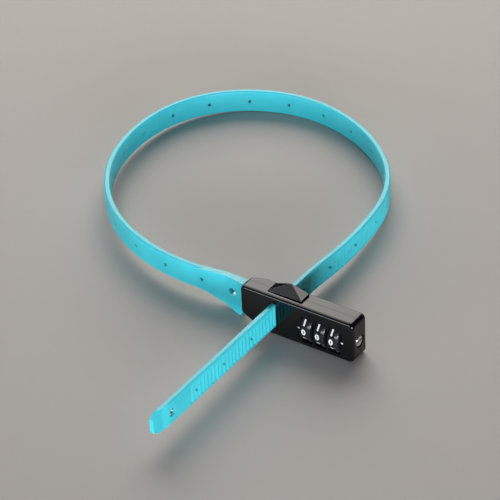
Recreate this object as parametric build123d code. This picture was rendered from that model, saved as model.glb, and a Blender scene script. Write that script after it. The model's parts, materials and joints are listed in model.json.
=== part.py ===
from build123d import *
import math
import os

# Combination strap lock: a steel-cored nylon strap that loops back through a slim
# lock head with three number dials, a sliding release and a reset screw.
# Millimetres. +X runs along the head from the strap's fixed end to the reset screw,
# -Y is the front face with the dials, +Z is up, and z = 0 is the head's underside.

os.makedirs("parts", exist_ok=True)

# ---------------------------------------------------------------- lock head
HEAD_L = 45.0
HEAD_T = 8.4
HEAD_H = 15.8
CUT_L = 8.4            # lower corner cut beside the strap's fixed end
CUT_H = 4.6
CORNER_R = 1.9
EDGE_R = 0.9
NOSE_L = 6.0           # the rear face slants in toward the strap's fixed end
NOSE_T = 6.2           # head depth left at that end
WALL = 1.0
WALL_LOW = 0.8         # the wall is thinner under the dials
SPLIT_Y = 0.3          # where the front and rear covers meet
SEAM = 0.1             # shadow line round the front cover
FIT = 0.05             # clearance between seated pieces
RUN = 0.05             # radial clearance of running fits
GAP = 0.15             # open gap beside a moving piece

# ---------------------------------------------------------------- strap
STRAP_W = 9.0
STRAP_T = 2.2
STRAP_EDGE_R = 0.7
STRAP_RISE = 0.15      # strap centre above the head's mid-height
SLOT_FROM_END = 13.1   # from the head's strap end to the slot's centre
SLOT_GAP = 0.18
SLOT_GAP_Z = 0.65
LOOP_Y = 1.75          # centre plane of the strap beside the head
LOOP_SCALE = 1.0
LOOP_ARCS = (          # degrees turned and radius, from the fixed end round to the slot
    (28.0, 74.5),
    (70.0, 64.0),
    (43.5, 42.5),
    (51.0, 48.0),
    (36.0, 69.7),
    (32.0, 53.0),
    (15.0, 140.0),
)
EASE_R = 120.0         # gentle reverse bend just before the head
TAIL_L = 73.3          # slot centre to tip
TIP_HOLE_FROM_END = 9.3
TIP_HOLE_R = 1.5
TIP_END_W = 5.2
TIP_TAPER_L = 3.4
TIP_THIN = 0.7         # how much the tip is thinned on its outer face
FLARE_LOW = 3.5        # how far the fixed end widens below and above
FLARE_HIGH = 1.5
BOOT_L = 8.5           # the fixed end thickens over this length
BOOT_T = 3.2
ROOT_T = 2.5
ROOT_Y = 0.15          # centre plane of the part inside the head
IN_HEAD = 6.0          # how much of the fixed end sits inside the head
HOLE_FIRST = 19.6
HOLE_PITCH = 15.95
HOLE_R = 0.7
EYE_FROM_HEAD = 6.2
EYE_R = 1.6
CORE_W = 5.2
CORE_T = 0.6
TOOTH_PITCH = 2.0
TOOTH_DEPTH = 0.5
TOOTH_W = 7.2
TEETH_BEFORE = 73.0    # toothed length on the loop side of the slot
TEETH_AFTER = 54.0     # and on the tail side
ANCHOR_R = 1.1

# ---------------------------------------------------------------- dials and hubs
DIAL_R = 5.9
DIAL_PITCH = 5.4
DIAL_SPACE = 1.3       # between one dial and the next
DIAL_FLOOR = 0.3       # dial to the head's lower wall
GRIP_W = 1.25
GRIP_NOTCHES = 20
GRIP_NOTCH_R = 0.36
DIGITS = 10
HUB_R = 2.9
HUB_END_GAP = 0.1
FLANGE_AT = 0.3
FLANGE_L = 0.5
FLANGE_R = 3.6
DOG_L = 0.6
DOG_W = 0.94
DOG_IN_R = 3.05
DOG_OUT_R = 3.5
DOGS = 5
SPINDLE_R = 1.2
CHAMBER_R = 2.4
WEB_L = 0.8
LUG_R = 2.25
LUG_L = 0.8
LUG_W = 1.1
LUG_AT = 1.1           # lug from the hub's left end, locked
SHIFT = 0.8            # how far the reset screw pushes the hubs
CLEAR = 0.2            # lug to web, at the end of each motion

# ---------------------------------------------------------------- release, pawl and reset
PAWL_L = 1.82
PAWL_TEETH = 2
PAWL_TRAVEL = 0.6
PAWL_SPRING_ROOM = 0.9
CARRIAGE_L = 1.2
NECK_W = 2.4
BAY_WALL = 0.85        # chassis wall in front of and behind the pawl
BULKHEAD_L = 0.8
HUB_SPRING_L = 2.0
WEDGE_BACK = 7.2       # release wedge to the left and right of its neck
WEDGE_AHEAD = 6.4
WEDGE_RISE = 2.4
WEDGE_FRONT = 2.0
WEDGE_REAR = 2.9
RAIL_ROOM = 0.95       # dials to the chassis rail
RING_L = 1.4
CAM_R = 3.0
CAM_GAP = 0.08
KNOB_R = 2.0
KNOB_FLANGE_L = 1.2
SCREW_R = 0.8
SCREW_HEAD_R = 1.4
SCREW_EDGE = 1.4       # screw centre to the inside of the walls

# ---------------------------------------------------------------- places that follow
LEFT = -HEAD_L / 2
RIGHT = HEAD_L / 2
Y_IN = HEAD_T / 2 - WALL - FIT
NOSE_Y = NOSE_T - HEAD_T / 2
AXIS_Z = WALL_LOW + DIAL_FLOOR + DIAL_R
STRAP_Z = HEAD_H / 2 + STRAP_RISE
STRAP_LOW = STRAP_Z - STRAP_W / 2
STRAP_HIGH = STRAP_Z + STRAP_W / 2
ROOT_X = LEFT + IN_HEAD
SLOT_X = LEFT + SLOT_FROM_END
TOOTH_FACE_X = SLOT_X + STRAP_T / 2
SLOT_SIDE = STRAP_T / 2 + SLOT_GAP
SLOT_TALL = STRAP_W / 2 + SLOT_GAP_Z
PAWL_X = SLOT_X + SLOT_SIDE
PAWL_BACK_X = PAWL_X + PAWL_L
CARRIAGE_X = PAWL_BACK_X + PAWL_SPRING_ROOM
CARRIAGE_END = CARRIAGE_X + CARRIAGE_L
WEB_AT = LUG_AT + LUG_L + SHIFT + CLEAR
TRAVEL = WEB_AT - LUG_AT + WEB_L + CLEAR + 0.1
BULKHEAD_X = CARRIAGE_END + TRAVEL + 0.1
BULKHEAD_END = BULKHEAD_X + BULKHEAD_L
HUB_X0 = BULKHEAD_END + HUB_SPRING_L
HUB_L = DIAL_PITCH - HUB_END_GAP
DIAL_W = DIAL_PITCH - DIAL_SPACE
FACET_W = DIAL_W - GRIP_W
DIAL_X0 = HUB_X0 + FLANGE_AT + FLANGE_L - 0.1
DIAL_BORE_R = HUB_R + RUN
RECESS_R = FLANGE_R + GAP
HUBS_END = HUB_X0 + 3 * DIAL_PITCH
DIALS_END = DIAL_X0 + 3 * DIAL_PITCH - DIAL_SPACE
RING_X = max(DIALS_END + SHIFT + 0.15, HUBS_END + 0.35)
RING_END = RING_X + RING_L - 0.3
KNOB_X = RING_END + CAM_GAP
BAY_Y = Y_IN - BAY_WALL
BAY_Z0 = STRAP_LOW - 0.35
BAY_Z1 = STRAP_HIGH + 0.35
RAIL_Z = AXIS_Z + DIAL_R + RAIL_ROOM
WINDOW_TALL = math.sqrt(DIAL_R**2 - (HEAD_T / 2 - WALL) ** 2) + 0.2


def put(shape, name):
    export_step(shape, f"parts/{name}.step")


def block(x0, x1, y0, y1, z0, z1):
    centre = Pos((x0 + x1) / 2, (y0 + y1) / 2, (z0 + z1) / 2)
    return centre * Box(x1 - x0, y1 - y0, z1 - z0)


def rod_x(r, x0, x1, y=0.0, z=AXIS_Z):
    return Pos((x0 + x1) / 2, y, z) * Rot(0, 90, 0) * Cylinder(r, x1 - x0)


def rod_y(r, y0, y1, x, z):
    return Pos(x, (y0 + y1) / 2, z) * Rot(90, 0, 0) * Cylinder(r, y1 - y0)


def slab(sketch, y0, y1):
    """A side-view sketch given its depth from y0 to y1."""
    return extrude(Plane.XZ.offset(-y1) * sketch, amount=y1 - y0)


def head_outline(inset):
    """The head's side view, moved in by a wall; negative is outside it."""
    low = inset * WALL_LOW / WALL
    left = LEFT + inset
    right = RIGHT - inset
    top = HEAD_H - inset
    slope = math.atan2(CUT_H, CUT_L)
    drop = low / math.cos(slope)
    left_z = CUT_H + drop - inset * math.tan(slope)
    foot_x = LEFT + CUT_L + (drop - low) / math.tan(slope)
    corners = [(left, left_z), (left, top), (right, top), (right, low), (foot_x, low)]
    shape = make_face(Polyline(*corners, close=True))
    return fillet(shape.vertices(), max(CORNER_R - inset, 0.4))


def nose_wedge(inset):
    """What the slant of the rear face takes away, moved in by a wall."""
    slope = (HEAD_T - NOSE_T) / NOSE_L
    shift = inset * math.hypot(1, slope)
    corners = [
        (LEFT - 1, NOSE_Y - slope - shift),
        (LEFT + NOSE_L + 2, NOSE_Y + slope * (NOSE_L + 2) - shift),
        (LEFT - 1, HEAD_T),
    ]
    return extrude(make_face(Polyline(*corners, close=True)), amount=HEAD_H + 1)


def screw_places():
    left_x = (ROOT_X + SLOT_X - SLOT_SIDE) / 2 + 0.1
    right_x = (KNOB_X + RIGHT - WALL) / 2 - 0.6
    top = HEAD_H - WALL - SCREW_EDGE
    low = WALL_LOW + SCREW_EDGE
    return [(left_x, top), (left_x, low + 0.5), (right_x, top), (right_x, low)]


# ================================================================ strap path
class Path:
    """Centre line of the strap: straights and arcs, turned clockwise seen from above."""

    def __init__(self):
        self.parts = []
        self.s = 0.0
        self.at = (LEFT, LOOP_Y)
        self.heading = math.pi

    def line(self, length):
        x, y = self.at
        self.parts.append(("line", self.s, length, (x, y), self.heading, 0.0))
        self.at = (x + length * math.cos(self.heading), y + length * math.sin(self.heading))
        self.s += length

    def arc(self, degrees, radius):
        turn = math.radians(degrees)
        side = 1.0 if turn > 0 else -1.0
        length = abs(turn) * radius
        self.parts.append(("arc", self.s, length, self.at, self.heading, side / radius))
        self.at, self.heading = self.point(self.s + length)
        self.s += length

    def point(self, s):
        """Place and heading at a length along the strap."""
        for kind, start, length, (x, y), heading, bend in reversed(self.parts):
            if s >= start:
                break
        run = s - start
        if kind == "line":
            return (x + run * math.cos(heading), y + run * math.sin(heading)), heading
        new = heading - run * bend
        cx = x + math.sin(heading) / bend
        cy = y - math.cos(heading) / bend
        return (cx - math.sin(new) / bend, cy + math.cos(new) / bend), new

    def offset(self, s, out):
        """Point beside the path; a positive offset is toward the loop's outside."""
        (x, y), heading = self.point(s)
        return x - out * math.sin(heading), y + out * math.cos(heading)

    def edge(self, out, s0, s1):
        edges = []
        for kind, start, length, _, _, _ in self.parts:
            a = max(start, s0)
            b = min(start + length, s1)
            if b - a < 1e-6:
                continue
            p = self.offset(a, out)
            # just inside the far end, so that the point belongs to this piece
            q = self.offset(b - 1e-9, out)
            if kind == "line":
                edges.append(Edge.make_line(p, q))
            else:
                edges.append(Edge.make_three_point_arc(p, self.offset((a + b) / 2, out), q))
        return edges


def strap_path():
    arcs = [(a, r * LOOP_SCALE) for a, r in LOOP_ARCS]
    ease = sum(a for a, _ in arcs) - 270.0
    trial = Path()
    for angle, radius in arcs:
        trial.arc(angle, radius)
    trial.arc(-ease, EASE_R)
    # the straight out of the head and the straight into the slot close the loop
    made = Path()
    made.line(trial.at[0] - SLOT_X)
    for angle, radius in arcs:
        made.arc(angle, radius)
    made.arc(-ease, EASE_R)
    made.line(made.at[1])
    made.slot_s = made.s
    made.line(TAIL_L)
    return made


path = strap_path()


def band(s0, s1, thick, tall):
    """A strip of even section that follows the strap's centre line."""
    outer = path.edge(thick / 2, s0, s1)
    inner = path.edge(-thick / 2, s0, s1)
    ends = []
    for s in (s0, s1):
        ends.append(Edge.make_line(path.offset(s, thick / 2), path.offset(s, -thick / 2)))
    face = make_face(outer + inner + ends)
    return extrude(Plane.XY.offset(STRAP_Z - tall / 2) * face, amount=tall, dir=(0, 0, 1))


def across(s, shape):
    """Place a shape drawn with local x along the strap and y toward its outer face."""
    (x, y), heading = path.point(s)
    return Pos(x, y, STRAP_Z) * Rot(0, 0, math.degrees(heading)) * shape


# ================================================================ strap
def make_band():
    main = band(BOOT_L, path.s, STRAP_T, STRAP_W)
    long_edges = [e for e in main.edges() if e.bounding_box().size.Z < 1e-3 and e.length > 2.5]
    return fillet(long_edges, STRAP_EDGE_R)


def make_flare():
    """The widened fixed end, drawn from the side."""
    out = LEFT
    side = make_face(
        Polyline(
            (out - 22.0, STRAP_LOW + 0.4),
            (out - 17.5, STRAP_LOW),
            (out - 5.0, STRAP_LOW - FLARE_LOW),
            (out - 2.6, STRAP_LOW - FLARE_LOW),
            (out - 0.3, STRAP_LOW + 0.9),
            (ROOT_X, STRAP_LOW + 1.4),
            (ROOT_X, STRAP_HIGH - 1.0),
            (out - 0.3, STRAP_HIGH - 0.4),
            (out - 0.7, STRAP_HIGH + FLARE_HIGH),
            (out - 3.5, STRAP_HIGH + FLARE_HIGH),
            (out - 19.5, STRAP_HIGH),
            (out - 22.0, STRAP_HIGH - 0.4),
            close=True,
        )
    )
    side = fillet([v for v in side.vertices() if out - 20.5 < v.X < out - 2.0], 0.9)
    hidden = STRAP_T / 2 - 0.05
    plan = make_face(
        Polyline(
            (out - 22.0, LOOP_Y - hidden),
            (out - BOOT_L - 1, LOOP_Y - hidden),
            (out - 0.3, ROOT_Y - BOOT_T / 2),
            (out - 0.3, ROOT_Y - ROOT_T / 2),
            (ROOT_X, ROOT_Y - ROOT_T / 2),
            (ROOT_X, ROOT_Y + ROOT_T / 2),
            (out - 0.3, ROOT_Y + ROOT_T / 2),
            (out - 0.3, ROOT_Y + BOOT_T / 2),
            (out - BOOT_L - 1, LOOP_Y + hidden),
            (out - 22.0, LOOP_Y + hidden),
            close=True,
        )
    )
    flare = slab(side, -HEAD_T, HEAD_T)
    return flare & extrude(plan, amount=HEAD_H)


def tip_cuts():
    """Corners, and the thinner outer face, of the free end."""
    end = -TAIL_L
    cuts = []
    for side in (-1, 1):
        corner = make_face(
            Polyline(
                (end - 1, side * TIP_END_W / 2),
                (end, side * TIP_END_W / 2),
                (end + TIP_TAPER_L, side * STRAP_W / 2),
                (end + TIP_TAPER_L, side * (STRAP_W / 2 + 1)),
                (end - 1, side * (STRAP_W / 2 + 1)),
                close=True,
            )
        )
        cuts.append(Pos(SLOT_X, 0, STRAP_Z) * extrude(Plane.YZ * corner, amount=6, both=True))
    thin = STRAP_T / 2 - TIP_THIN
    ramp = make_face(
        Polyline(
            (thin, end - 1),
            (thin, end + TIP_HOLE_FROM_END - TIP_HOLE_R - 3.0),
            (STRAP_T / 2 + 0.01, end + TIP_HOLE_FROM_END - TIP_HOLE_R - 0.5),
            (STRAP_T / 2 + 1, end + TIP_HOLE_FROM_END - TIP_HOLE_R - 0.5),
            (STRAP_T / 2 + 1, end - 1),
            close=True,
        )
    )
    cuts.append(Pos(SLOT_X, 0, 0) * extrude(ramp, amount=HEAD_H * 2))
    return cuts


def tooth_groove():
    """One ratchet groove: a long ramp and a steep face that the pawl bears on."""
    face = STRAP_T / 2
    profile = Polyline(
        (-0.75, face + 0.4),
        (-0.75, face),
        (0.55, face - TOOTH_DEPTH),
        (0.7, face),
        (0.7, face + 0.4),
        close=True,
    )
    return extrude(make_face(profile), amount=TOOTH_W / 2, both=True)


strap = make_band() + make_flare()
for cut in tip_cuts():
    strap -= cut

core_tip = path.s - 5.5
core = band(BOOT_L, core_tip, CORE_T, CORE_W)
core_root = Polyline((LEFT - BOOT_L - 0.5, LOOP_Y), (LEFT - BOOT_L + 1, LOOP_Y), (LEFT, ROOT_Y), (ROOT_X - 0.8, ROOT_Y))
core_root = make_face(offset(core_root, CORE_T / 2, kind=Kind.INTERSECTION))
core += extrude(Plane.XY.offset(STRAP_Z - CORE_W / 2) * core_root, amount=CORE_W)
strap -= core

before = int(TEETH_BEFORE / TOOTH_PITCH)
after = int(TEETH_AFTER / TOOTH_PITCH)
groove = tooth_groove()
grooves = []
for k in range(-before, after):
    grooves.append(across(path.slot_s + (k + 0.5) * TOOTH_PITCH, groove))
strap -= grooves

# pin holes that show the core, the eye of the fixed end and the tip hole
hole_room = path.s - TIP_HOLE_FROM_END - HOLE_FIRST - 12.0
pin_holes = []
for k in range(int(hole_room / HOLE_PITCH) + 1):
    s = HOLE_FIRST + k * HOLE_PITCH
    if abs(s - path.slot_s) > HEAD_T / 2 + 1:
        pin_holes.append(across(s, Rot(90, 0, 0) * Cylinder(HOLE_R, STRAP_T + 1)))
strap -= pin_holes
anchor_x = ROOT_X - 3.2
for hole in (
    rod_y(EYE_R, LOOP_Y - 5, LOOP_Y + 5, LEFT - EYE_FROM_HEAD, STRAP_Z),
    rod_x(TIP_HOLE_R, SLOT_X - 3, SLOT_X + 3, -TAIL_L + TIP_HOLE_FROM_END, STRAP_Z),
    rod_y(ANCHOR_R + 0.02, -HEAD_T, HEAD_T, anchor_x, STRAP_Z),
):
    strap -= hole
    core -= hole
put(strap, "strap")
put(core, "strap_core")


# ================================================================ covers
def cover(y_face):
    """Half of the head's shell, from its outer face to the split."""
    lo, hi = sorted((y_face, SPLIT_Y))
    body = slab(head_outline(0), lo, hi) - nose_wedge(0)
    rim = [e for e in body.edges() if abs(e.bounding_box().min.Y - SPLIT_Y) > 0.01
           and abs(e.bounding_box().max.Y - SPLIT_Y) > 0.01]
    body = fillet(rim, EDGE_R)
    lo, hi = sorted((y_face - math.copysign(WALL, y_face), SPLIT_Y))
    return body - (slab(head_outline(WALL), lo, hi) - nose_wedge(WALL))


def cover_openings():
    cuts = []
    for k in range(3):
        x0 = DIAL_X0 + k * DIAL_PITCH
        window = block(x0 - GAP, x0 + DIAL_W + GAP, -HEAD_T, HEAD_T,
                       AXIS_Z - WINDOW_TALL, AXIS_Z + WINDOW_TALL)
        cuts.append(fillet(window.edges().filter_by(Axis.Y), 0.5))
    slot = block(SLOT_X - SLOT_SIDE, SLOT_X + SLOT_SIDE, -HEAD_T, HEAD_T,
                 STRAP_Z - SLOT_TALL, STRAP_Z + SLOT_TALL)
    cuts.append(fillet(slot.edges().filter_by(Axis.Y), 0.7))
    cuts.append(block(CARRIAGE_X - GAP, CARRIAGE_END + TRAVEL + GAP,
                      -NECK_W / 2 - FIT, NECK_W / 2 + FIT, HEAD_H - 2, HEAD_H + 1))
    cuts.append(block(LEFT - 1, ROOT_X, ROOT_Y - ROOT_T / 2 - FIT,
                      ROOT_Y + ROOT_T / 2 + FIT, STRAP_LOW + 0.8, STRAP_HIGH - 0.2))
    cuts.append(rod_x(KNOB_R + RUN, RIGHT - WALL - 1, RIGHT + 1))
    cuts.append(rod_x(KNOB_R + 0.5, RIGHT - 0.25, RIGHT + 1))
    cuts.append(rod_x(FLANGE_R + GAP, BULKHEAD_END, RING_X + 0.1))
    return cuts


front = cover(-HEAD_T / 2)
rear = cover(HEAD_T / 2)
for cut in cover_openings():
    front -= cut
    rear -= cut

# a shadow line round the front cover
line_y = -HEAD_T / 2 + EDGE_R
front -= slab(head_outline(-1), line_y, line_y + 0.2) - slab(head_outline(0.18), line_y, line_y + 0.2)
# and one along the split
front -= slab(head_outline(-1), SPLIT_Y - SEAM, SPLIT_Y) - slab(head_outline(SEAM), SPLIT_Y - SEAM, SPLIT_Y)

screw_end_y = -HEAD_T / 2 + 0.6
boss_y = -HEAD_T / 2 + WALL + 0.9
head_seat_y = HEAD_T / 2 - 0.55
for x, z in screw_places():
    front += rod_y(SCREW_R + 0.6, -HEAD_T / 2 + 0.5, boss_y, x, z)
    front -= rod_y(SCREW_R, screw_end_y, boss_y + 1, x, z)
    rear -= rod_y(SCREW_R + RUN, 0, HEAD_T, x, z)
    rear -= rod_y(SCREW_HEAD_R + RUN, head_seat_y, HEAD_T, x, z)
put(front, "front_cover")
put(rear, "rear_cover")

# ================================================================ chassis
inside = slab(head_outline(WALL + FIT), -Y_IN, Y_IN) - nose_wedge(WALL + FIT)
end_x = RING_X - 0.25
chassis = inside & block(LEFT, BULKHEAD_END, -HEAD_T, HEAD_T, 0, HEAD_H)
chassis += inside & block(BULKHEAD_X, RIGHT, -HEAD_T, HEAD_T, RAIL_Z, HEAD_H)
chassis += inside & block(end_x, RIGHT, -HEAD_T, HEAD_T, 0, HEAD_H)
# strap channel, bay of the pawl and carriage, neck slot, spindle bore
chassis -= block(SLOT_X - SLOT_SIDE, SLOT_X + SLOT_SIDE, -HEAD_T, HEAD_T,
                 STRAP_Z - SLOT_TALL, STRAP_Z + SLOT_TALL)
chassis -= block(SLOT_X, BULKHEAD_X, -BAY_Y, BAY_Y, BAY_Z0, BAY_Z1)
chassis -= block(CARRIAGE_X - GAP, BULKHEAD_X, -NECK_W / 2 - FIT, NECK_W / 2 + FIT, BAY_Z1 - 1, HEAD_H)
chassis -= rod_x(SPINDLE_R + RUN, BULKHEAD_X - 1, BULKHEAD_END + 1)
# seat of the strap's fixed end
chassis -= block(LEFT, ROOT_X + 0.1, ROOT_Y - ROOT_T / 2 - FIT, HEAD_T, STRAP_LOW + 0.8, STRAP_HIGH - 0.2)
chassis -= rod_y(ANCHOR_R + 0.02, -HEAD_T, HEAD_T, anchor_x, STRAP_Z)
# reset bay: cam ring with its keyway, and the reset screw's flange and neck
chassis -= rod_x(CAM_R + RUN, end_x - 1, KNOB_X + KNOB_FLANGE_L + 0.1)
chassis -= block(end_x - 1, KNOB_X, -0.85, 0.85, AXIS_Z - CAM_R - 1.0, AXIS_Z + CAM_R + 1.0)
chassis -= rod_x(KNOB_R + RUN, end_x, RIGHT)
for x, z in screw_places():
    chassis -= rod_y(SCREW_R + 0.7, -HEAD_T, boss_y + 0.1, x, z)
    chassis -= rod_y(SCREW_R + RUN, -HEAD_T, HEAD_T, x, z)
put(chassis, "chassis")

pin_end_y = ROOT_Y + ROOT_T / 2
put(rod_y(ANCHOR_R, -Y_IN + FIT, pin_end_y, anchor_x, STRAP_Z), "anchor_pin")

screws = []
for x, z in screw_places():
    screw = rod_y(SCREW_R, screw_end_y + 0.15, HEAD_T / 2 - 0.5, x, z)
    screw += rod_y(SCREW_HEAD_R, head_seat_y, HEAD_T / 2 - 0.1, x, z)
    deep = HEAD_T / 2 - 0.32
    screw -= block(x - 0.95, x + 0.95, deep, HEAD_T, z - 0.17, z + 0.17)
    screw -= block(x - 0.17, x + 0.17, deep, HEAD_T, z - 0.95, z + 0.95)
    screws.append(screw)
put(Compound(screws), "cover_screws")

# ================================================================ dials
decagon = RegularPolygon(DIAL_R, DIGITS, rotation=180 / DIGITS)
for k in range(3):
    x0 = DIAL_X0 + k * DIAL_PITCH
    digits = extrude(Plane.YZ.offset(x0) * decagon, amount=FACET_W)
    digits = chamfer(digits.faces().sort_by(Axis.X)[0].edges(), 0.25)
    grip = rod_x(DIAL_R, x0 + FACET_W, x0 + DIAL_W, 0, 0)
    rim = grip.faces().sort_by(Axis.X)[-1].edges()
    grip = chamfer(rim, 0.2)
    notch = rod_x(GRIP_NOTCH_R, x0 + FACET_W, x0 + DIAL_W + 1, DIAL_R + 0.12, 0)
    grip -= [Rot(360 / GRIP_NOTCHES * j, 0, 0) * notch for j in range(GRIP_NOTCHES)]
    dial = Pos(0, 0, AXIS_Z) * (digits + grip)
    dial -= rod_x(DIAL_BORE_R, x0 - 1, x0 + DIAL_W + 1)
    dial -= rod_x(RECESS_R, x0 - 1, x0 + 0.15)
    pocket = block(x0 + 0.1, x0 + 0.15 + DOG_L + 0.1, -DOG_W / 2 - RUN, DOG_W / 2 + RUN,
                   DOG_IN_R - 0.06, DOG_OUT_R + 0.06)
    for j in range(DIGITS):
        dial -= Pos(0, 0, AXIS_Z) * Rot(360 / DIGITS * j, 0, 0) * pocket
    put(dial, f"dial_{k + 1}")

# ================================================================ hubs
for k in range(3):
    x0 = HUB_X0 + k * DIAL_PITCH
    hub = rod_x(HUB_R, x0, x0 + HUB_L)
    flange_x = x0 + FLANGE_AT
    hub += rod_x(FLANGE_R, flange_x, flange_x + FLANGE_L)
    dog = block(flange_x + FLANGE_L - 0.1, flange_x + FLANGE_L + DOG_L,
                -DOG_W / 2, DOG_W / 2, DOG_IN_R, DOG_OUT_R)
    for j in range(DOGS):
        hub += Pos(0, 0, AXIS_Z) * Rot(360 / DOGS * j, 0, 0) * dog
    hub -= rod_x(CHAMBER_R, x0 - 1, x0 + WEB_AT)
    hub -= rod_x(CHAMBER_R, x0 + WEB_AT + WEB_L, x0 + HUB_L + 1)
    hub -= rod_x(SPINDLE_R + RUN, x0, x0 + HUB_L)
    # the gate that lets the lug past the web at the opening number
    hub -= block(x0, x0 + HUB_L, -LUG_W / 2 - 0.12, LUG_W / 2 + 0.12, AXIS_Z, AXIS_Z + LUG_R + 0.12)
    put(hub, f"hub_{k + 1}")

# ================================================================ spindle with three lugs
spindle = rod_x(SPINDLE_R, CARRIAGE_X, KNOB_X - 0.7)
spindle = chamfer(spindle.faces().sort_by(Axis.X)[-1].edges(), 0.3)
for k in range(3):
    x0 = HUB_X0 + k * DIAL_PITCH + LUG_AT
    spindle += block(x0, x0 + LUG_L, -LUG_W / 2, LUG_W / 2, AXIS_Z, AXIS_Z + LUG_R)
put(spindle, "lug_spindle")


# ================================================================ release slider and carriage
def facet(*points):
    return Face(Wire.make_polygon(points, close=True))


def release_wedge():
    """Low wedge with its ridge running from the front left corner up to the rear."""
    left = CARRIAGE_X - WEDGE_BACK
    right = CARRIAGE_X + WEDGE_AHEAD
    peak = CARRIAGE_X - 0.8
    base = HEAD_H + FIT
    a, b = -WEDGE_FRONT, WEDGE_REAR
    p1, p2, p3, p4 = (left, a, base), (right, a, base), (right, b, base), (left, b, base)
    q1, q4 = (left, a, base + 0.25), (left, b, base + 0.25)
    q2, q3 = (right, a, base + 0.55), (right, b, base + 0.75)
    apex = (peak, b, base + WEDGE_RISE)
    foot = (peak, b, base)
    faces = [
        facet(p1, p2, p3, foot, p4),
        facet(p1, p2, q2, q1),
        facet(p2, p3, q3, q2),
        facet(p3, foot, apex, q3),
        facet(foot, p4, q4, apex),
        facet(p4, p1, q1, q4),
        facet(q1, apex, q4),
        facet(q1, q2, apex),
        facet(q2, q3, apex),
    ]
    solid = Part() + Solid(Shell(faces))
    upper = [e for e in solid.edges() if e.bounding_box().min.Z > base + 0.1]
    return fillet(upper, 0.18)


slider = release_wedge()
slider += block(CARRIAGE_X, CARRIAGE_END, -NECK_W / 2, NECK_W / 2, BAY_Z1, HEAD_H + FIT + 0.2)
put(slider, "release_slider")

carriage = block(CARRIAGE_X, CARRIAGE_END, -BAY_Y + FIT, BAY_Y - FIT, BAY_Z0 + FIT, BAY_Z1 - FIT)
carriage -= rod_x(SPINDLE_R + 0.02, CARRIAGE_X - 1, CARRIAGE_END + 1)
put(carriage, "carriage")

# ================================================================ pawl and springs
pawl = block(PAWL_X, PAWL_BACK_X, -BAY_Y + FIT, BAY_Y - FIT, BAY_Z0 + FIT, BAY_Z1 - FIT)
tooth = extrude(
    make_face(
        Polyline(
            (PAWL_X + 0.1, -0.56),
            (TOOTH_FACE_X - TOOTH_DEPTH + 0.12, -0.46),
            (PAWL_X + 0.1, 0.72),
            close=True,
        )
    ),
    amount=TOOTH_W - 1.6,
)
for k in range(PAWL_TEETH):
    y = (k - (PAWL_TEETH - 1) / 2) * TOOTH_PITCH
    pawl += Pos(0, y, STRAP_Z - (TOOTH_W - 1.6) / 2) * tooth
SPRING_SEAT = 0.8
pawl -= rod_x(1.25, PAWL_BACK_X - SPRING_SEAT, PAWL_BACK_X + 1, 0, STRAP_Z)
put(pawl, "pawl")


def coil(x0, x1, radius, wire, turns, z):
    """A compression spring between two x places."""
    helix = Helix((x1 - x0 - wire) / turns, x1 - x0 - wire, radius)
    section = Plane(origin=helix @ 0, z_dir=helix % 0) * RegularPolygon(wire / 2, 6)
    return Pos(x0 + wire / 2, 0, z) * Rot(0, 90, 0) * sweep(section, path=helix, is_frenet=True)


put(coil(PAWL_BACK_X - SPRING_SEAT, CARRIAGE_X, 0.95, 0.22, 4, STRAP_Z), "pawl_spring")
put(coil(BULKHEAD_END, HUB_X0, SPINDLE_R + 0.6, 0.26, 4, AXIS_Z), "hub_spring")

# ================================================================ reset screw and cam ring
# Both faces are cut to one slant. A quarter turn of the screw rides up the slant and
# pushes the ring along by SHIFT.
slant = math.degrees(math.atan(SHIFT / (math.sqrt(2) * CAM_R)))


def beyond(x):
    """Everything to the right of the slanted plane through x on the axis."""
    return Pos(x, 0, AXIS_Z) * Rot(0, -slant, 0) * Pos(20, 0, 0) * Box(40, 40, 40)


knob = rod_x(KNOB_R, KNOB_X - 2, RIGHT - 0.15)
knob = chamfer(knob.faces().sort_by(Axis.X)[-1].edges(), 0.2)
knob += rod_x(CAM_R, KNOB_X - 2, KNOB_X + KNOB_FLANGE_L)
knob &= beyond(KNOB_X)
knob -= rod_x(SPINDLE_R + 0.1, KNOB_X - 3, KNOB_X - 0.7 + TRAVEL + 0.15)
knob -= block(RIGHT - 0.7, RIGHT, -KNOB_R, KNOB_R, AXIS_Z - 0.3, AXIS_Z + 0.3)
put(knob, "reset_screw")

nose_bore = max(0.3, LUG_AT + LUG_L + TRAVEL - HUB_L + SHIFT)
nose_x = HUBS_END
ring = rod_x(CAM_R, RING_X, RING_END + 2)
ring += block(RING_X, RING_END - 0.5, -0.8, 0.8, AXIS_Z - CAM_R - 0.9, AXIS_Z + CAM_R + 0.9)
ring += rod_x(HUB_R, nose_x, RING_X + 0.2)
ring -= beyond(RING_END)
ring -= rod_x(CHAMBER_R, nose_x - 1, nose_x + nose_bore)
ring -= rod_x(SPINDLE_R + 0.1, nose_x - 1, RING_END + 3)
put(ring, "cam_ring")

# ================================================================ dial detent leaf
crest = AXIS_Z + DIAL_R
leaf = block(DIAL_X0 - 1.0, DIALS_END, Y_IN - 1.45, Y_IN - 0.15, RAIL_Z - 0.22, RAIL_Z - 0.02)
finger = make_face(
    Polyline(
        (Y_IN - 1.25, RAIL_Z - 0.02),
        (Y_IN - 1.25, RAIL_Z - 0.22),
        (0.3, crest + 0.04),
        (0.12, crest - 0.12),
        (-0.12, crest - 0.12),
        (-0.3, crest + 0.04),
        (-0.8, crest + 0.25),
        (-0.8, crest + 0.42),
        (-0.15, crest + 0.18),
        (0.2, crest + 0.2),
        (Y_IN - 1.55, RAIL_Z - 0.02),
        close=True,
    )
)
for k in range(3):
    x0 = DIAL_X0 + k * DIAL_PITCH + FACET_W + 0.15
    leaf += extrude(Plane.YZ.offset(x0) * finger, amount=0.9)
put(leaf, "detent_leaf")
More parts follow.
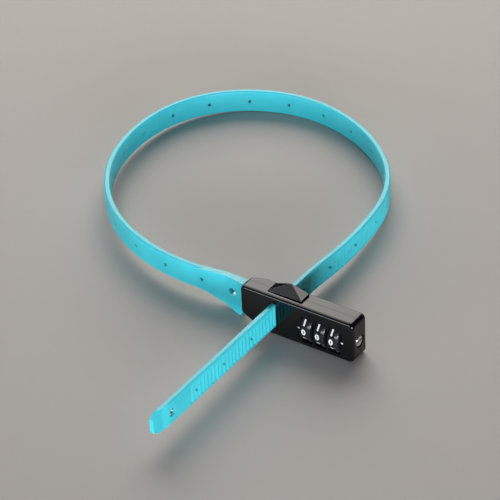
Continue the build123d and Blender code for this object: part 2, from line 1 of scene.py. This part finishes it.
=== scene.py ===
"""Looks of a combination strap lock: a toothed nylon strap looped through a slim lock head.

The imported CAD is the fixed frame. This file adds the painted digits and the index marks,
gives each moulding and metal piece its finish, and sets the stage.
"""
import json
import math

import bmesh
import bpy
from mathutils import Matrix, Vector


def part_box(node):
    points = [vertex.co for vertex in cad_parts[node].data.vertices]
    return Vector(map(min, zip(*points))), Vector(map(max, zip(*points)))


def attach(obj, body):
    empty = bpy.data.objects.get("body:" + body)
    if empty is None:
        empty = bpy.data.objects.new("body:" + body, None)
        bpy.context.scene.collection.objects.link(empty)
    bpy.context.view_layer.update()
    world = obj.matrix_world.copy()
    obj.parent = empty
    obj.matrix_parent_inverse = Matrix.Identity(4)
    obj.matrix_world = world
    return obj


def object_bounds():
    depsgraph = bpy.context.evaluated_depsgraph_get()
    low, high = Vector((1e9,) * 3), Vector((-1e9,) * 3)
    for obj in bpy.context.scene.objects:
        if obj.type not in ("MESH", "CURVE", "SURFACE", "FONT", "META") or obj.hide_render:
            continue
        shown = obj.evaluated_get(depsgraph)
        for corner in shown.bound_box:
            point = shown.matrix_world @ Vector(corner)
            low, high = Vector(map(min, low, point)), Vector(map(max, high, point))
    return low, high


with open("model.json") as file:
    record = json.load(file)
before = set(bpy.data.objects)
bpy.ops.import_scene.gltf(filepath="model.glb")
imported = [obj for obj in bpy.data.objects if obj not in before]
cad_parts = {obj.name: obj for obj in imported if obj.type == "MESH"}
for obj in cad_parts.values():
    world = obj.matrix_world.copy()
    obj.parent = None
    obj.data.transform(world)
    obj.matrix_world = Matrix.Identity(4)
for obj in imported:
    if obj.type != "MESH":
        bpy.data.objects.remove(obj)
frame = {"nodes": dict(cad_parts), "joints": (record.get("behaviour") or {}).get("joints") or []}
CAD_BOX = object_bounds()

bl_info = {
    "name": "Combination Strap Lock",
    "version": (1, 0, 0),
    "blender": (4, 5, 0),
    "location": "View3D > Sidebar > Strap Lock",
    "description": "Finishes, markings and stage of a combination strap lock",
    "category": "Object",
}

MM = 0.001
DIALS = ("dial_1", "dial_2", "dial_3")
FACETS = 10                     # of a dial, one for each digit
DIGIT_INSET = 1.5 * MM          # from a dial's left side to the middle of its digits
MARK_BEFORE = 1.3 * MM          # from the first dial to the mark on its left
MARK_AFTER = 0.95 * MM          # from the last dial to the mark on its right
MARK_STRETCH = 1.5              # length of a mark over its height
MARK_SIDES = 24
WELD = 0.0001 * MM              # vertices closer than this are joined

HEAD_EDGE = 0.9 * MM            # rounding of the head's rear lower edge
CORE_MARGIN = 1.9 * MM          # from the steel core's edge to the nylon's
AIM = Vector((-37.6, 23.9, 8.0)) * MM
SENSOR_WIDTH = 36               # in mm, as Blender holds it
WORLD_TINT = (0.85, 0.93, 1.0, 1.0)
WORLD_STRENGTH = 0.03
DAYLIGHT = "#F6F9FF"
WARM_WHITE = "#FFFBF5"

# a Mix node has several sockets of each name, so its colour ones go by number
COLOUR_A, COLOUR_B, COLOUR_OUT = 6, 7, 2
# most of a noise texture's values lie between these
NOISE_LOW, NOISE_HIGH = 0.3, 0.7


# ---------------------------------------------------------------- sizes and colours
def hinge_of(body):
    """The joint that turns a body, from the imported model."""
    return next(j for j in frame["joints"] if j["child"] == body and j["type"] == "hinge")


def hex_colour(code):
    """An sRGB hex value as linear RGB, the way shader sockets and properties hold it."""
    parts = [int(code[i:i + 2], 16) / 255 for i in (1, 3, 5)]
    return [c / 12.92 if c <= 0.04045 else ((c + 0.055) / 1.055) ** 2.4 for c in parts]


def colour(name, description, code):
    """A colour property whose default is a hex value."""
    return bpy.props.FloatVectorProperty(
        name=name, description=description, subtype="COLOR", size=3, min=0, max=1,
        default=hex_colour(code))


def length(name, description, millimetres):
    """A length property whose default is in millimetres."""
    return bpy.props.FloatProperty(
        name=name, description=description, subtype="DISTANCE", unit="LENGTH",
        min=0, default=millimetres * MM)


class StrapLockFinish(bpy.types.PropertyGroup):
    """Colours of the mouldings, the paint and the metal pieces."""

    nylon: colour("Nylon", "Colour moulded into the strap", "#45D8E8")
    shell: colour("Shell", "Gloss black of the two covers and the release", "#08090B")
    dial: colour("Dials", "Satin black of the number dials", "#1E1F24")
    paint: colour("Digit paint", "Paint in the digits and the index marks", "#F4F5F2")
    zinc: colour("Zinc", "Die-cast zinc of the chassis, carriage and spindle", "#9B9C9F")
    steel: colour("Steel", "Strap core, screws, pin, pawl and springs", "#A3A6A8")
    brass: colour("Brass", "Turned hubs and the cam ring", "#C79F4E")
    chrome: colour("Chrome", "Plated reset screw", "#D9DBDC")


class StrapLockMarks(bpy.types.PropertyGroup):
    """Sizes of the painted digits and marks."""

    digit_height: length("Digit height", "Height of a painted digit", 2.35)
    digit_width: length("Digit width", "Widest a digit may be", 1.6)
    paint_depth: length("Paint thickness", "How far the paint stands off the surface", 0.03)
    mark_length: length("Index mark", "Length of an index mark beside the dials", 0.89)


class StrapLockStage(bpy.types.PropertyGroup):
    """Floor, lights and camera."""

    floor: colour("Floor", "Pale grey sheet that the lock lies on", "#B9B4B0")
    floor_size: length("Floor size", "Side of the square sheet", 4000)
    azimuth: bpy.props.FloatProperty(
        name="Azimuth", description="Camera angle round the lock", subtype="ANGLE",
        default=math.radians(35.65))
    elevation: bpy.props.FloatProperty(
        name="Elevation", description="Camera angle above the strap's plane", subtype="ANGLE",
        default=math.radians(34.95))
    roll: bpy.props.FloatProperty(
        name="Roll", description="Camera turned about its own axis", subtype="ANGLE",
        default=math.radians(-2.85))
    distance: length("Distance", "From the camera to the middle of the view", 831)
    lens: bpy.props.FloatProperty(
        name="Lens", description="Focal length", subtype="DISTANCE_CAMERA", min=1, default=170.6)


# ---------------------------------------------------------------- node helper
def add_node(tree, kind, inputs=None, **settings):
    """One node: its settings, then its inputs by name or number, each a value or a socket."""
    made = tree.nodes.new(kind)
    for key, value in settings.items():
        setattr(made, key, value)
    for key, value in (inputs or {}).items():
        if isinstance(value, bpy.types.NodeSocket):
            tree.links.new(value, made.inputs[key])
        else:
            made.inputs[key].default_value = value
    return made


def start_finish(name):
    """An empty material, its node tree and the piece's own coordinates."""
    material = bpy.data.materials.new(name)
    material.use_nodes = True
    tree = material.node_tree
    tree.nodes.clear()
    place = add_node(tree, "ShaderNodeTexCoord").outputs["Object"]
    return material, tree, place


def per_mm(millimetres):
    """Pattern scale whose features are this size."""
    return 1 / (millimetres * MM)


def shade(base, factor):
    """A colour made lighter or darker, with its alpha."""
    return (*(min(1.0, c * factor) for c in base), 1.0)


# ---------------------------------------------------------------- finishes
def moulded_nylon(base):
    """Injection-moulded polyamide 66: a waxy satin with faint flow clouds and soft, lit edges."""
    material, tree, place = start_finish("moulded_nylon_turquoise")
    clouds = add_node(tree, "ShaderNodeTexNoise", {"Vector": place, "Scale": per_mm(9), "Detail": 4})
    grain = add_node(tree, "ShaderNodeTexNoise", {"Vector": place, "Scale": per_mm(0.35), "Detail": 3})
    tone = add_node(tree, "ShaderNodeMix", {
        "Factor": clouds.outputs["Fac"],
        COLOUR_A: shade(base, 0.9), COLOUR_B: shade(base, 1.1)}, data_type="RGBA")
    polish = add_node(tree, "ShaderNodeMapRange", {
        "Value": clouds.outputs["Fac"], "From Min": NOISE_LOW, "From Max": NOISE_HIGH,
        "To Min": 0.28, "To Max": 0.4})
    relief = add_node(tree, "ShaderNodeBump", {
        "Height": grain.outputs["Fac"], "Distance": 0.02 * MM, "Strength": 0.4})
    shader = add_node(tree, "ShaderNodeBsdfPrincipled", {
        "Base Color": tone.outputs[COLOUR_OUT], "Roughness": polish.outputs["Result"], "IOR": 1.53,
        "Subsurface Weight": 0.4, "Subsurface Radius": (0.4, 1.0, 1.2), "Subsurface Scale": 1.6 * MM,
        "Normal": relief.outputs["Normal"]})
    add_node(tree, "ShaderNodeOutputMaterial", {"Surface": shader.outputs["BSDF"]})
    return material


def gloss_shell(base):
    """High-gloss black ABS from a polished mould: near mirror, with orange peel and wipe marks."""
    material, tree, place = start_finish("gloss_abs_black")
    wipe = add_node(tree, "ShaderNodeTexNoise", {"Vector": place, "Scale": per_mm(6), "Detail": 5})
    peel = add_node(tree, "ShaderNodeTexNoise", {"Vector": place, "Scale": per_mm(1.8), "Detail": 1})
    polish = add_node(tree, "ShaderNodeMapRange", {
        "Value": wipe.outputs["Fac"], "From Min": NOISE_LOW, "From Max": NOISE_HIGH,
        "To Min": 0.05, "To Max": 0.13})
    relief = add_node(tree, "ShaderNodeBump", {
        "Height": peel.outputs["Fac"], "Distance": 0.012 * MM, "Strength": 0.3})
    shader = add_node(tree, "ShaderNodeBsdfPrincipled", {
        "Base Color": shade(base, 1), "Roughness": polish.outputs["Result"], "IOR": 1.48,
        "Normal": relief.outputs["Normal"]})
    add_node(tree, "ShaderNodeOutputMaterial", {"Surface": shader.outputs["BSDF"]})
    return material


def satin_dial(base):
    """Satin black ABS with a fine spark-eroded grain, so the facets shade evenly."""
    material, tree, place = start_finish("satin_abs_black")
    grain = add_node(tree, "ShaderNodeTexNoise", {"Vector": place, "Scale": per_mm(0.12), "Detail": 2})
    polish = add_node(tree, "ShaderNodeMapRange", {
        "Value": grain.outputs["Fac"], "From Min": NOISE_LOW, "From Max": NOISE_HIGH,
        "To Min": 0.16, "To Max": 0.26})
    relief = add_node(tree, "ShaderNodeBump", {
        "Height": grain.outputs["Fac"], "Distance": 0.008 * MM, "Strength": 0.4})
    shader = add_node(tree, "ShaderNodeBsdfPrincipled", {
        "Base Color": shade(base, 1), "Roughness": polish.outputs["Result"], "IOR": 1.54,
        "Normal": relief.outputs["Normal"]})
    add_node(tree, "ShaderNodeOutputMaterial", {"Surface": shader.outputs["BSDF"]})
    return material


def digit_enamel(base):
    """White pad-printing enamel: nearly matt, a touch uneven where the pad lifted off."""
    material, tree, place = start_finish("digit_enamel_white")
    pad = add_node(tree, "ShaderNodeTexNoise", {"Vector": place, "Scale": per_mm(0.5), "Detail": 2})
    tone = add_node(tree, "ShaderNodeMix", {
        "Factor": pad.outputs["Fac"],
        COLOUR_A: shade(base, 0.94), COLOUR_B: shade(base, 1.02)}, data_type="RGBA")
    relief = add_node(tree, "ShaderNodeBump", {
        "Height": pad.outputs["Fac"], "Distance": 0.01 * MM, "Strength": 0.4})
    shader = add_node(tree, "ShaderNodeBsdfPrincipled", {
        "Base Color": tone.outputs[COLOUR_OUT], "Roughness": 0.42, "IOR": 1.5,
        "Normal": relief.outputs["Normal"]})
    add_node(tree, "ShaderNodeOutputMaterial", {"Surface": shader.outputs["BSDF"]})
    return material


def cast_zinc(base):
    """As-cast zinc: dull grey with a mottled skin."""
    material, tree, place = start_finish("cast_zinc")
    skin = add_node(tree, "ShaderNodeTexNoise", {"Vector": place, "Scale": per_mm(0.8), "Detail": 5})
    tone = add_node(tree, "ShaderNodeMix", {
        "Factor": skin.outputs["Fac"],
        COLOUR_A: shade(base, 0.75), COLOUR_B: shade(base, 1.15)}, data_type="RGBA")
    polish = add_node(tree, "ShaderNodeMapRange", {
        "Value": skin.outputs["Fac"], "From Min": NOISE_LOW, "From Max": NOISE_HIGH,
        "To Min": 0.38, "To Max": 0.55})
    relief = add_node(tree, "ShaderNodeBump", {
        "Height": skin.outputs["Fac"], "Distance": 0.02 * MM, "Strength": 0.5})
    shader = add_node(tree, "ShaderNodeBsdfPrincipled", {
        "Base Color": tone.outputs[COLOUR_OUT], "Metallic": 1, "Roughness": polish.outputs["Result"],
        "Normal": relief.outputs["Normal"]})
    add_node(tree, "ShaderNodeOutputMaterial", {"Surface": shader.outputs["BSDF"]})
    return material


def drawn_steel(base, name="drawn_steel", smooth=0.2, dull=0.34):
    """Drawn or rolled steel: fine lines along the draw, and a roughness from smooth to dull."""
    material, tree, place = start_finish(name)
    drawn = add_node(tree, "ShaderNodeMapping", {"Vector": place, "Scale": (0.08, 1, 1)})
    lines = add_node(tree, "ShaderNodeTexNoise", {
        "Vector": drawn.outputs["Vector"], "Scale": per_mm(0.15), "Detail": 3})
    tone = add_node(tree, "ShaderNodeMix", {
        "Factor": lines.outputs["Fac"],
        COLOUR_A: shade(base, 0.78), COLOUR_B: shade(base, 1.15)}, data_type="RGBA")
    polish = add_node(tree, "ShaderNodeMapRange", {
        "Value": lines.outputs["Fac"], "From Min": NOISE_LOW, "From Max": NOISE_HIGH,
        "To Min": smooth, "To Max": dull})
    relief = add_node(tree, "ShaderNodeBump", {
        "Height": lines.outputs["Fac"], "Distance": 0.004 * MM, "Strength": 0.5})
    shader = add_node(tree, "ShaderNodeBsdfPrincipled", {
        "Base Color": tone.outputs[COLOUR_OUT], "Metallic": 1, "Roughness": polish.outputs["Result"],
        "Normal": relief.outputs["Normal"]})
    add_node(tree, "ShaderNodeOutputMaterial", {"Surface": shader.outputs["BSDF"]})
    return material


def turned_brass(base):
    """Free-cutting brass off the lathe: rings from the tool round the axis, warm and bright."""
    material, tree, place = start_finish("turned_brass")
    rings = add_node(tree, "ShaderNodeTexWave", {
        "Vector": place, "Scale": per_mm(2.5), "Distortion": 0.4}, bands_direction="X")
    tone = add_node(tree, "ShaderNodeMix", {
        "Factor": rings.outputs["Fac"],
        COLOUR_A: shade(base, 0.88), COLOUR_B: shade(base, 1.08)}, data_type="RGBA")
    polish = add_node(tree, "ShaderNodeMapRange", {
        "Value": rings.outputs["Fac"], "To Min": 0.18, "To Max": 0.28})
    relief = add_node(tree, "ShaderNodeBump", {
        "Height": rings.outputs["Fac"], "Distance": 0.004 * MM, "Strength": 0.4})
    shader = add_node(tree, "ShaderNodeBsdfPrincipled", {
        "Base Color": tone.outputs[COLOUR_OUT], "Metallic": 1, "Roughness": polish.outputs["Result"],
        "Normal": relief.outputs["Normal"]})
    add_node(tree, "ShaderNodeOutputMaterial", {"Surface": shader.outputs["BSDF"]})
    return material


def bright_chrome(base):
    """Chrome plate over brass: very bright, with hairline wear from a coin or a driver."""
    material, tree, place = start_finish("bright_chrome")
    wear = add_node(tree, "ShaderNodeTexNoise", {"Vector": place, "Scale": per_mm(0.25), "Detail": 4})
    tone = add_node(tree, "ShaderNodeMix", {
        "Factor": wear.outputs["Fac"],
        COLOUR_A: shade(base, 0.86), COLOUR_B: shade(base, 1.05)}, data_type="RGBA")
    polish = add_node(tree, "ShaderNodeMapRange", {
        "Value": wear.outputs["Fac"], "From Min": NOISE_LOW, "From Max": NOISE_HIGH,
        "To Min": 0.07, "To Max": 0.18})
    relief = add_node(tree, "ShaderNodeBump", {
        "Height": wear.outputs["Fac"], "Distance": 0.004 * MM, "Strength": 0.4})
    shader = add_node(tree, "ShaderNodeBsdfPrincipled", {
        "Base Color": tone.outputs[COLOUR_OUT], "Metallic": 1, "Roughness": polish.outputs["Result"],
        "Normal": relief.outputs["Normal"]})
    add_node(tree, "ShaderNodeOutputMaterial", {"Surface": shader.outputs["BSDF"]})
    return material


def seamless_sheet(base):
    """Matt grey background sheet with a hint of tooth."""
    material, tree, place = start_finish("background_sheet")
    tooth = add_node(tree, "ShaderNodeTexNoise", {"Vector": place, "Scale": per_mm(3), "Detail": 4})
    tone = add_node(tree, "ShaderNodeMix", {
        "Factor": tooth.outputs["Fac"],
        COLOUR_A: shade(base, 0.98), COLOUR_B: shade(base, 1.02)}, data_type="RGBA")
    relief = add_node(tree, "ShaderNodeBump", {
        "Height": tooth.outputs["Fac"], "Distance": 0.05 * MM, "Strength": 0.2})
    shader = add_node(tree, "ShaderNodeBsdfPrincipled", {
        "Base Color": tone.outputs[COLOUR_OUT], "Roughness": 0.6, "Normal": relief.outputs["Normal"]})
    add_node(tree, "ShaderNodeOutputMaterial", {"Surface": shader.outputs["BSDF"]})
    return material


def dress(material, *nodes):
    """Give CAD nodes a finish."""
    for name in nodes:
        mesh = frame["nodes"][name].data
        mesh.materials.clear()
        mesh.materials.append(material)


# ---------------------------------------------------------------- mesh helpers
def finish_piece(name, form, material, body):
    """A bmesh as an object at the origin that rides on a body."""
    bmesh.ops.remove_doubles(form, verts=form.verts, dist=WELD)
    bmesh.ops.recalc_face_normals(form, faces=form.faces)
    mesh = bpy.data.meshes.new(name)
    form.to_mesh(mesh)
    form.free()
    mesh.materials.append(material)
    piece = bpy.data.objects.new(name, mesh)
    bpy.context.scene.collection.objects.link(piece)
    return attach(piece, body)


def digit_form(text, height, width, thickness):
    """A digit as a thin raised mesh, centred, in the XY plane with its face toward +Z."""
    curve = bpy.data.curves.new("digit", "FONT")
    curve.body = text
    curve.align_x = "CENTER"
    curve.align_y = "CENTER"
    curve.extrude = 0.02        # any depth does, since it is scaled below
    curve.offset = 0.05         # heavier strokes than the font's own
    curve.resolution_u = 6
    holder = bpy.data.objects.new("digit", curve)
    bpy.context.scene.collection.objects.link(holder)
    bpy.context.view_layer.update()
    mesh = bpy.data.meshes.new_from_object(holder.evaluated_get(
        bpy.context.evaluated_depsgraph_get()))
    form = bmesh.new()
    form.from_mesh(mesh)
    bpy.data.objects.remove(holder)
    bpy.data.curves.remove(curve)
    bpy.data.meshes.remove(mesh)
    low = Vector([min(v.co[i] for v in form.verts) for i in range(3)])
    high = Vector([max(v.co[i] for v in form.verts) for i in range(3)])
    middle = (low + high) / 2
    tall = height / (high.y - low.y)
    wide = min(tall, width / (high.x - low.x))
    bmesh.ops.translate(form, verts=form.verts, vec=-middle)
    bmesh.ops.scale(form, verts=form.verts, vec=(wide, tall, thickness / (high.z - low.z)))
    return form


def join_form(target, part):
    """Move one bmesh into another."""
    mesh = bpy.data.meshes.new("part")
    part.to_mesh(mesh)
    part.free()
    target.from_mesh(mesh)
    bpy.data.meshes.remove(mesh)


# ---------------------------------------------------------------- operators
class STRAPLOCK_OT_strap(bpy.types.Operator):
    """Give the strap its moulded nylon and its core the rolled steel"""

    bl_idname = "straplock.strap"
    bl_label = "Strap"

    def execute(self, context):
        finish = context.scene.strap_lock_finish
        dress(moulded_nylon(finish.nylon), "strap")
        dress(drawn_steel(finish.steel, "rolled_steel_strip"), "strap_core")
        return {"FINISHED"}


class STRAPLOCK_OT_head(bpy.types.Operator):
    """Give the covers and the release their gloss black"""

    bl_idname = "straplock.head"
    bl_label = "Lock head"

    def execute(self, context):
        finish = context.scene.strap_lock_finish
        dress(gloss_shell(finish.shell), "front_cover", "rear_cover", "release_slider")
        return {"FINISHED"}


class STRAPLOCK_OT_works(bpy.types.Operator):
    """Give the lock's works their metals"""

    bl_idname = "straplock.works"
    bl_label = "Works"

    def execute(self, context):
        finish = context.scene.strap_lock_finish
        dress(cast_zinc(finish.zinc), "chassis", "carriage", "lug_spindle")
        dress(drawn_steel(finish.steel), "anchor_pin", "cover_screws", "pawl")
        dress(drawn_steel(finish.steel, "spring_steel", 0.12, 0.22),
              "pawl_spring", "hub_spring", "detent_leaf")
        dress(turned_brass(finish.brass), "hub_1", "hub_2", "hub_3", "cam_ring")
        dress(bright_chrome(finish.chrome), "reset_screw")
        return {"FINISHED"}


class STRAPLOCK_OT_dials(bpy.types.Operator):
    """Paint the digits 0 to 9 round each dial"""

    bl_idname = "straplock.dials"
    bl_label = "Dials and digits"

    def execute(self, context):
        finish = context.scene.strap_lock_finish
        marks = context.scene.strap_lock_marks
        dress(satin_dial(finish.dial), *DIALS)
        enamel = digit_enamel(finish.paint)
        for body in DIALS:
            low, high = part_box(body)
            axis = Vector(hinge_of(body)["pos_m"])
            radius = (high.y - low.y) / 2
            apothem = radius * math.cos(math.pi / FACETS)
            centre_x = low.x + DIGIT_INSET
            form = bmesh.new()
            for number in range(FACETS):
                digit = digit_form(str(number), marks.digit_height, marks.digit_width,
                                   marks.paint_depth)
                # upright on the front facet, then turned round the axis
                stand = Matrix.Rotation(math.pi / 2, 4, "X")
                out = Matrix.Translation((0, -apothem, 0))
                turn = Matrix.Rotation(-number * 2 * math.pi / FACETS, 4, "X")
                place = Matrix.Translation((centre_x, axis.y, axis.z))
                bmesh.ops.transform(digit, matrix=place @ turn @ out @ stand, verts=digit.verts)
                join_form(form, digit)
            finish_piece("digits_" + body, form, enamel, body)
        return {"FINISHED"}


class STRAPLOCK_OT_marks(bpy.types.Operator):
    """Paint the index marks at each side of the dials, front and rear"""

    bl_idname = "straplock.marks"
    bl_label = "Index marks"

    def execute(self, context):
        finish = context.scene.strap_lock_finish
        marks = context.scene.strap_lock_marks
        enamel = digit_enamel(finish.paint)
        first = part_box(DIALS[0])[0]
        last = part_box(DIALS[2])[1]
        level = hinge_of(DIALS[0])["pos_m"][2]
        for cover, sign in (("front_cover", -1), ("rear_cover", 1)):
            low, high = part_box(cover)
            face = low.y if sign < 0 else high.y
            form = bmesh.new()
            for x in (first.x - MARK_BEFORE, last.x + MARK_AFTER):
                dot = bmesh.ops.create_circle(
                    form, cap_ends=True, segments=MARK_SIDES,
                    radius=marks.mark_length / MARK_STRETCH / 2)["verts"]
                bmesh.ops.scale(form, verts=dot, vec=(MARK_STRETCH, 1, 1))
                stand = Matrix.Rotation(math.pi / 2, 4, "X")
                place = Matrix.Translation((x, face, level))
                bmesh.ops.transform(form, matrix=place @ stand, verts=dot)
            solid = bmesh.ops.extrude_face_region(form, geom=list(form.faces))
            raised = [v for v in solid["geom"] if isinstance(v, bmesh.types.BMVert)]
            bmesh.ops.translate(form, verts=raised, vec=(0, sign * marks.paint_depth, 0))
            finish_piece("index_marks_" + cover, form, enamel, "lock")
        return {"FINISHED"}


class STRAPLOCK_OT_stage(bpy.types.Operator):
    """Set the floor, the soft lights and the camera"""

    bl_idname = "straplock.stage"
    bl_label = "Stage"

    def execute(self, context):
        stage = context.scene.strap_lock_stage
        self.floor(stage)
        self.lights(context)
        self.camera(context, stage)
        context.scene.view_settings.view_transform = "Standard"
        return {"FINISHED"}

    def floor(self, stage):
        """The lock lies on its head's rear edge and on the far side of the loop."""
        head_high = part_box("rear_cover")[1]
        strap_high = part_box("strap")[1]
        core_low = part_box("strap_core")[0]
        strap_edge = core_low.z - CORE_MARGIN
        pivot = Vector((0, head_high.y - HEAD_EDGE, 0))
        tilt = math.atan2(strap_edge, strap_high.y - pivot.y)
        form = bmesh.new()
        bmesh.ops.create_grid(form, x_segments=1, y_segments=1, size=stage.floor_size / 2)
        bmesh.ops.rotate(form, verts=form.verts, matrix=Matrix.Rotation(tilt, 3, "X"))
        bmesh.ops.translate(form, verts=form.verts, vec=pivot)
        mesh = bpy.data.meshes.new("floor")
        form.to_mesh(mesh)
        form.free()
        mesh.materials.append(seamless_sheet(stage.floor))
        floor = bpy.data.objects.new("floor", mesh)
        bpy.context.scene.collection.objects.link(floor)

    def lights(self, context):
        """A soft key behind and above, low fills in front and beside, a small card overhead."""
        self.lamp("key_softbox", toward=(-0.42, 0.70, 0.62), distance=1.3, size=(1.35, 1.0),
                  power=17, tone=WARM_WHITE)
        self.lamp("front_fill", toward=(-0.3, -1.0, 0.08), distance=1.5, size=(1.0, 0.4),
                  power=11, tone=DAYLIGHT)
        self.lamp("side_fill", toward=(0.8, -0.7, 0.08), distance=1.5, size=(1.0, 0.4),
                  power=25, tone=DAYLIGHT)
        self.lamp("overhead_card", toward=(-0.48, -0.05, 0.88), distance=1.2, size=(0.5, 0.5),
                  power=0.8, tone=DAYLIGHT)
        world = bpy.data.worlds.new("studio")
        world.use_nodes = True
        back = world.node_tree.nodes["Background"]
        back.inputs["Color"].default_value = WORLD_TINT
        back.inputs["Strength"].default_value = WORLD_STRENGTH
        context.scene.world = world

    def lamp(self, name, toward, distance, size, power, tone):
        """A soft light in metres and watts; toward is the direction from the lock to it."""
        data = bpy.data.lights.new(name, "AREA")
        data.shape = "RECTANGLE"
        data.size, data.size_y = size
        data.energy = power
        data.color = hex_colour(tone)
        lamp = bpy.data.objects.new(name, data)
        way = Vector(toward).normalized()
        lamp.location = (CAD_BOX[0] + CAD_BOX[1]) / 2 + way * distance
        lamp.rotation_mode = "QUATERNION"
        lamp.rotation_quaternion = (-way).to_track_quat("-Z", "Y")
        bpy.context.scene.collection.objects.link(lamp)

    def camera(self, context, stage):
        """Long lens from the front right, above the dials."""
        turned, raised = stage.azimuth, stage.elevation
        back = Vector((math.sin(turned) * math.cos(raised),
                       -math.cos(turned) * math.cos(raised), math.sin(raised)))
        data = bpy.data.cameras.new("camera")
        data.lens = stage.lens
        data.sensor_width = SENSOR_WIDTH
        data.clip_start = 0.01
        data.clip_end = 20
        camera = bpy.data.objects.new("camera", data)
        facing = (-back).to_track_quat("-Z", "Y").to_matrix().to_4x4()
        roll = Matrix.Rotation(stage.roll, 4, "Z")
        camera.matrix_world = Matrix.Translation(AIM + back * stage.distance) @ facing @ roll
        context.scene.collection.objects.link(camera)
        context.scene.camera = camera


class STRAPLOCK_PT_panel(bpy.types.Panel):
    """Sizes, colours and steps of the strap lock"""

    bl_label = "Combination Strap Lock"
    bl_idname = "STRAPLOCK_PT_panel"
    bl_space_type = "VIEW_3D"
    bl_region_type = "UI"
    bl_category = "Strap Lock"

    def draw(self, context):
        for group in ("strap_lock_finish", "strap_lock_marks", "strap_lock_stage"):
            box = self.layout.box()
            settings = getattr(context.scene, group)
            for key in settings.bl_rna.properties.keys():
                if key not in ("rna_type", "name"):
                    box.prop(settings, key)
        for step in OPERATORS:
            self.layout.operator(step.bl_idname)


SETTINGS = (
    ("strap_lock_finish", StrapLockFinish),
    ("strap_lock_marks", StrapLockMarks),
    ("strap_lock_stage", StrapLockStage),
)
OPERATORS = (
    STRAPLOCK_OT_strap,
    STRAPLOCK_OT_head,
    STRAPLOCK_OT_works,
    STRAPLOCK_OT_dials,
    STRAPLOCK_OT_marks,
    STRAPLOCK_OT_stage,
)


def register():
    for name, group in SETTINGS:
        bpy.utils.register_class(group)
        setattr(bpy.types.Scene, name, bpy.props.PointerProperty(type=group))
    for step in OPERATORS:
        bpy.utils.register_class(step)
    bpy.utils.register_class(STRAPLOCK_PT_panel)


def unregister():
    bpy.utils.unregister_class(STRAPLOCK_PT_panel)
    for step in reversed(OPERATORS):
        bpy.utils.unregister_class(step)
    for name, group in reversed(SETTINGS):
        delattr(bpy.types.Scene, name)
        bpy.utils.unregister_class(group)


def main():
    register()
    bpy.ops.straplock.strap()
    bpy.ops.straplock.head()
    bpy.ops.straplock.works()
    bpy.ops.straplock.dials()
    bpy.ops.straplock.marks()
    bpy.ops.straplock.stage()


if __name__ == "__main__":
    main()
